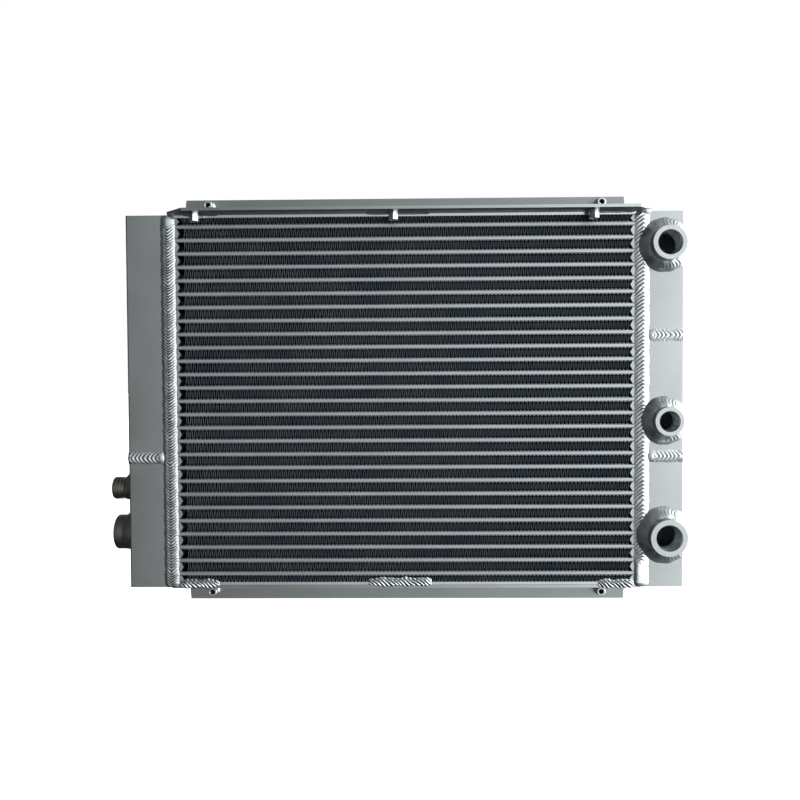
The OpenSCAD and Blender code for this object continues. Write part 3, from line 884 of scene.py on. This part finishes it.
def turned_port(port, outline, pitch, facing, material, edge=0.5 * MM):
    """A turned weld boss with a threaded bore. outline is its outside, from the foot up, and edge the
    rounding of its tip. Its spigot goes through the tank's wall."""
    spigot_length, spigot_wall, small_step, run_out = 4 * MM, 3 * MM, 0.05 * MM, 0.2 * MM
    top = port.height - port.mouth

    def profile(turn):
        """The boss's outline at one angle, from the spigot's end up, over the tip and down the bore."""
        foot = [(port.bore + spigot_wall, -spigot_length), (port.bore + spigot_wall, 0)]
        tip = rounded_tip(port.radius, port.height, edge)
        rim = [
            (port.radius - edge - run_out, port.height),
            (port.bore + port.mouth + run_out, port.height),
        ]
        mouth = [(port.bore + port.mouth, port.height), (port.bore + small_step, top)]
        thread = threaded(-spigot_length, top - run_out, port.bore, pitch, turn)
        return foot + outline + tip + rim + mouth + thread

    shape = lathe(profile, Matrix.Identity(4))
    place = Matrix.Translation(port.foot) @ facing
    made = piece(port.node + "_turned", [shape], material, [port.node], place, 30)
    inside = port.bore + pitch * 0.55
    line_bores(made, BORE_METAL, [Matrix.Identity(4)], inside, -spigot_length, top)


def make_ports():
    """Three plain bosses on the front, and on the left a grooved and a plain one. The grooves lie
    between two distances from the tip."""
    facing_front = Matrix.Rotation(math.pi / 2, 4, "X")
    facing_left = Matrix.Rotation(-math.pi / 2, 4, "Y")
    for port, pitch in zip(FRONT_PORTS, (M24_PITCH, G_COARSE_PITCH, G_COARSE_PITCH)):
        turned_port(port, [(port.radius, 0)], pitch, facing_front, PORT_METAL)
    small, large = SIDE_PORTS
    groove_depth, side_edge = 1.8 * MM, 2 * MM
    grooves = ((12 * MM, 9.5 * MM), (7.5 * MM, 6 * MM))
    outline = [(small.radius, 0)]
    floor = small.radius - groove_depth
    for far, near in grooves:
        low, high = small.height - far, small.height - near
        outline += [(small.radius, low), (floor, low), (floor, high), (small.radius, high)]
    # The side ports' darker metal is painted shade.
    turned_port(small, outline, G_FINE_PITCH, facing_left, SHADED_PORT_METAL,
                side_edge)
    turned_port(large, [(large.radius, 0)], G_COARSE_PITCH, facing_left, SHADED_PORT_METAL,
                side_edge)


# ---- Rivet nuts ----

def nut_profile(length, bulge, hexagon):
    """Profile of an M6 rivet nut whose head's face is at height 0 and whose body hangs below it. bulge
    is how far it swells behind the sheet; a hexagonal body is as wide as its flats are apart."""
    head, body, bore, sheet = 5.5 * MM, 4.5 * MM, 2.46 * MM, 3 * MM
    head_rim, head_cone, rounder = 0.15 * MM, MM, 1.1
    chamfer, lead_in, small_step, tip = 0.5 * MM, 0.45 * MM, 0.05 * MM, 0.4 * MM
    swell_start, swell_end, swell_tail = 0.4 * MM, 2 * MM, 2.8 * MM

    def profile(turn):
        """The nut's outline at one angle, from under its head round its end and up the bore."""
        from_flat = ((turn + math.pi / 6) % (math.pi / 3)) - math.pi / 6
        side = body / math.cos(from_flat) if hexagon else body
        round_end = min(side, body * rounder)
        outline = [(head, -head_rim), (body, -head_cone), (side, -sheet)]
        if bulge:
            outline += [
                (side + bulge, -sheet - swell_start), (side + bulge, -sheet - swell_end),
                (side, -sheet - swell_tail),
            ]
        outline += [
            (side, chamfer - length), (round_end - chamfer, -length),
            (bore + lead_in, -length), (bore + small_step, tip - length),
        ]
        outline += threaded(chamfer - length, -chamfer, bore, M6_PITCH, turn)[::-1]
        return outline + [(bore + lead_in, 0), (head, 0)]

    return profile


def nut_piece(node, axes, profile, length):
    """Every rivet nut of a CAD node as one piece, at the given places, with dark bores: partly unplated
    steel, partly painted shade.
    """
    inside, margin = 3.05 * MM, 0.3 * MM
    parts = [lathe(profile, axis, 96) for axis in axes]
    made = piece(node + "_turned", parts, NUT_METAL, [node], crease=30)
    line_bores(made, NUT_BORE_STEEL_AND_SHADE, axes, inside, margin - length, -margin)


def make_nuts():
    """Two swelled nuts in each bracket's flange and three hexagonal ones in the top bracket's lip."""
    holes = MOUNTS["mounting_holes"]["dims"]
    spread, rise = holes["spacing_x_mm"] * MM / 2, holes["spacing_y_mm"] * MM / 2
    bulge = 1.25 * MM
    facing_rear = Matrix.Rotation(-math.pi / 2, 4, "X")
    for node, sign in (("top_rivet_nuts", 1), ("bottom_rivet_nuts", -1)):
        low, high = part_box(node)
        length = high.y - low.y
        axes = [
            Matrix.Translation((side * spread, high.y, sign * rise)) @ facing_rear
            for side in (-1, 1)
        ]
        nut_piece(node, axes, nut_profile(length, bulge, hexagon=False), length)
    low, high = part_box("lip_rivet_nuts")
    length = high.z - low.z
    middle = Vector(MOUNTS["lip_nut_middle"]["pos_m"])
    apart = MOUNTS["lip_nuts_outer"]["dims"]["spacing_x_mm"] * MM / 2
    axes = [Matrix.Translation(middle + Vector((i * apart, 0, 0))) for i in (-1, 0, 1)]
    nut_piece("lip_rivet_nuts", axes, nut_profile(length, 0, hexagon=True), length)


# ---- Tanks and brackets ----

def make_tanks():
    """The five tanks, their four end caps, and the partitions hidden inside."""
    tanks = ("left_upper", "left_lower", "right_upper", "right_middle", "right_lower")
    caps = ("left_top", "left_bottom", "right_top", "right_bottom")
    for node in [name + "_tank" for name in tanks] + [name + "_cap" for name in caps]:
        softened(node, TANK_EDGE, TANK_METAL)
    for name in ("left", "right_upper", "right_lower"):
        recolour(name + "_partition", TANK_METAL)


def make_brackets():
    """Both brackets, with sheared front edges. The top one's metal is darker than the bottom one's,
    painted shade, and its underside is darker still: painted shade under its lip.
    """
    def at_front(centre, normal):
        """Faces of the front edge and its bevels."""
        return normal.y < -0.3 and centre.y < FRONT_Y + MM

    def underside(centre, normal):
        """Faces that look down on the core from above it."""
        return normal.z < -0.7 and centre.z > HALF_H

    for node, metal in (("top_bracket", SHADED_TOP_BRACKET_METAL), ("bottom_bracket", BOTTOM_BRACKET_METAL)):
        made = softened(node, BRACKET_EDGE, metal)
        paint(made, SHEARED_METAL, at_front)
        # The underside gets painted shade.
        paint(made, UNDERSIDE_SHADE_METAL, underside)


# ---- Stage ----

def make_floor():
    """A plain pale floor under the object, bright enough to wash out to white."""
    mesh = bpy.data.meshes.new("floor")
    half, height = 12, cad_box[0].z
    corners = [(-half, -half), (half, -half), (half, half), (-half, half)]
    mesh.from_pydata([(x, y, height) for x, y in corners], [], [(0, 1, 2, 3)])
    look = Look("floor_paper", metallic=0, roughness=0.9)
    look.shader.inputs["Base Color"].default_value = (*even(0.9), 1)
    look.shader.inputs["Emission Color"].default_value = (*even(1), 1)
    look.shader.inputs["Emission Strength"].default_value = 1
    mesh.materials.append(look.material)
    floor = bpy.data.objects.new("floor", mesh)
    bpy.context.scene.collection.objects.link(floor)
    floor.visible_diffuse = False
    floor.visible_glossy = False


def light_along(graph, value, stops):
    """Light along one axis by (place from -1 to 1, level) stops: a colour that is 1 at the brightest
    stop, and that stop's level."""
    brightest = max(level for place, level in stops)
    colours = [((place + 1) / 2, even(level / brightest)) for place, level in stops]
    return graph.ramp(graph.span(value, -1, 1), colours), brightest


def make_world():
    """A white surround to the eye. As light it brightens to the right, and dims above and below."""
    world = bpy.data.worlds.new("studio")
    world.use_nodes = True
    bpy.context.scene.world = world
    graph = Graph(world.node_tree)
    graph.tree.nodes.clear()
    x, y, z = graph.separate(graph.add("ShaderNodeTexCoord").outputs["Generated"])
    across, bright_side = light_along(graph, x, [
        (-1, 0.05), (-0.7, 0.07), (-0.5, 0.12), (-0.32, 0.275), (-0.2, 0.42), (0, 0.64), (0.2, 0.88),
        (0.32, 1.15), (0.5, 1.8), (0.7, 3.0), (1, 4.0)
    ])
    upward, bright_top = light_along(graph, z, [
        (-1, 0.08), (-0.6, 0.2), (-0.35, 0.9), (0, 1), (0.35, 1.05), (0.6, 0.6), (1, 0.3)
    ])
    lighting = graph.add("ShaderNodeBackground")
    lighting.inputs["Strength"].default_value = bright_side * bright_top
    graph.wire(graph.times(across, upward), lighting, "Color")
    white = graph.add("ShaderNodeBackground")
    white.inputs["Color"].default_value = (*even(1), 1)
    seen = graph.add("ShaderNodeLightPath")
    mix = graph.add("ShaderNodeMixShader")
    graph.wire(seen.outputs["Is Camera Ray"], mix, "Fac")
    graph.wire(lighting.outputs["Background"], mix, 1)
    graph.wire(white.outputs["Background"], mix, 2)
    graph.wire(mix.outputs["Shader"], graph.add("ShaderNodeOutputWorld"), "Surface")


def make_camera():
    """The camera's place, in metres, and slight tilts, found by lining up the object's corners."""
    data = bpy.data.cameras.new("camera")
    data.sensor_width = 36
    data.lens = 37.0
    camera = bpy.data.objects.new("camera", data)
    bpy.context.scene.collection.objects.link(camera)
    place = Matrix.Translation((0.00876, -0.88817, 0.02367))
    turn = Matrix.Rotation(math.radians(0.92974), 4, "Z")
    tilt = Matrix.Rotation(math.radians(-1.63068), 4, "X")
    roll = Matrix.Rotation(math.radians(0.32387), 4, "Y")
    facing_rear = Matrix.Rotation(math.pi / 2, 4, "X")
    camera.matrix_world = place @ turn @ tilt @ roll @ facing_rear
    bpy.context.scene.camera = camera


make_core()
make_tanks()
make_brackets()
make_nuts()
make_ports()
make_seams()
make_partition_welds()
make_port_welds()
make_bracket_welds()
make_floor()
make_world()
make_camera()
bpy.context.scene.view_settings.view_transform = "Standard"
